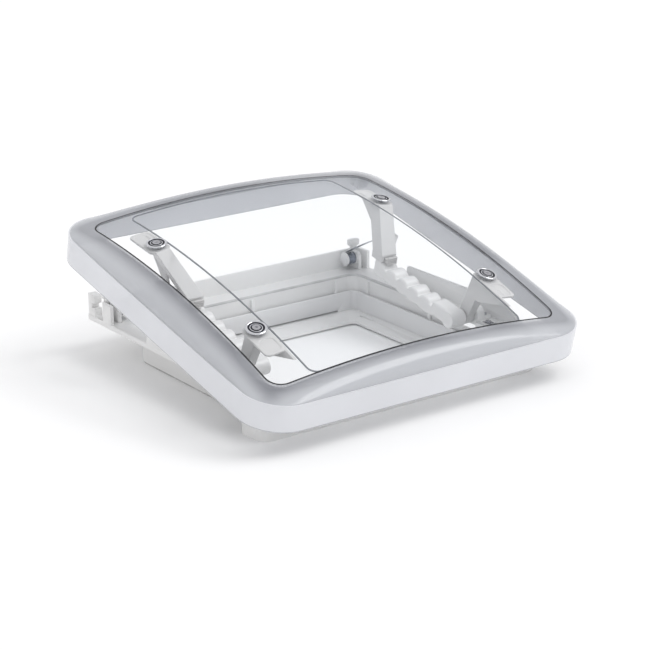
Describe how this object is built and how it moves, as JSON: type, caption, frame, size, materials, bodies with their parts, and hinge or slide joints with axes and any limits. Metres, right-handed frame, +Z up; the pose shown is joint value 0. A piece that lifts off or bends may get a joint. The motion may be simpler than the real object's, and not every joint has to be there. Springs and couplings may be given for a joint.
{
  "type": "roof vent cover",
  "caption": "Tilting roof vent cover: moulded frame with an inner collar, and a domed translucent cover hinged at the front with finger-grip handles and coil-spring tapes.",
  "frame": {"origin": "centre of the four seat screws, on the plane that the frame stands on", "axes": "+X along the hinge, +Y to the rear where the dome lifts, +Z up"},
  "size_m": [0.44, 0.4356, 0.1721],
  "materials": {
    "frame": "satin",
    "collar": "satin",
    "gasket": "matt",
    "soft_seal": "matt",
    "window_line": "matt",
    "acrylic_outer": "gloss, translucent",
    "acrylic_inner": "gloss, clear",
    "post": "satin",
    "grip": "satin",
    "button": "satin",
    "drum": "satin",
    "buffer": "satin",
    "spring_steel": "dark, polished",
    "screw_steel": "bright",
    "rosette": "polished"
  },
  "bodies": {
    "frame": {"base_frame": "frame", "inner_collar": "collar", "seat_gasket": "gasket", "rim_seal": "soft_seal", "hinge_bracket_left": "frame", "hinge_bracket_right": "frame", "hinge_pin_left": "screw_steel", "hinge_pin_right": "screw_steel", "bracket_screws": "screw_steel", "leaf_screws": "screw_steel", "leaf_spring_left": "screw_steel", "leaf_spring_right": "screw_steel", "striker_left": "frame", "striker_right": "frame", "spring_cradle_left": "frame", "spring_cradle_right": "frame", "spring_ribbon_left": "spring_steel", "spring_ribbon_right": "spring_steel"},
    "dome": {"outer_dome": "acrylic_outer", "inner_pane": "acrylic_inner", "window_seal": "window_line", "post_screws": "screw_steel", "corner_buffers": "buffer", "grip_handle_left": "grip", "grip_handle_right": "grip", "screw_rosette_front_left": "rosette", "screw_rosette_front_right": "rosette", "screw_rosette_rear_left": "rosette", "screw_rosette_rear_right": "rosette", "front_post_left": "post", "front_post_right": "post", "rear_post_left": "post", "rear_post_right": "post"},
    "drum_left": {"spring_drum_left": "drum", "spring_coil_left": "spring_steel"},
    "drum_right": {"spring_drum_right": "drum", "spring_coil_right": "spring_steel"},
    "button_left": {"release_button_left": "button"},
    "button_right": {"release_button_right": "button"}
  },
  "joints": [
    {"name": "dome_tilt", "type": "hinge", "parent": "frame", "child": "dome", "pos_m": [0, -0.084, 0.049], "axis": [1, 0, 0], "range_deg": [-13.2, 7], "deforming": ["spring_ribbon_left", "spring_ribbon_right"]},
    {"name": "drum_left_wind", "type": "hinge", "parent": "frame", "child": "drum_left", "pos_m": [-0.1605, 0.155, 0.059], "axis": [1, 0, 0], "range_deg": [-158.4, 84]},
    {"name": "button_left_slide", "type": "slide", "parent": "dome", "child": "button_left", "axis": [0, 0.9736, 0.2284], "range_m": [0, 0.004], "stiffness_N_per_m": 500, "springref_m": -0.001},
    {"name": "drum_right_wind", "type": "hinge", "parent": "frame", "child": "drum_right", "pos_m": [0.1605, 0.155, 0.059], "axis": [1, 0, 0], "range_deg": [-158.4, 84]},
    {"name": "button_right_slide", "type": "slide", "parent": "dome", "child": "button_right", "axis": [0, 0.9736, 0.2284], "range_m": [0, 0.004], "stiffness_N_per_m": 500, "springref_m": -0.001}
  ],
  "couplings": [
    {"joint": "drum_left_wind", "follows": "dome_tilt", "ratio": 12},
    {"joint": "drum_right_wind", "follows": "dome_tilt", "ratio": 12}
  ]
}
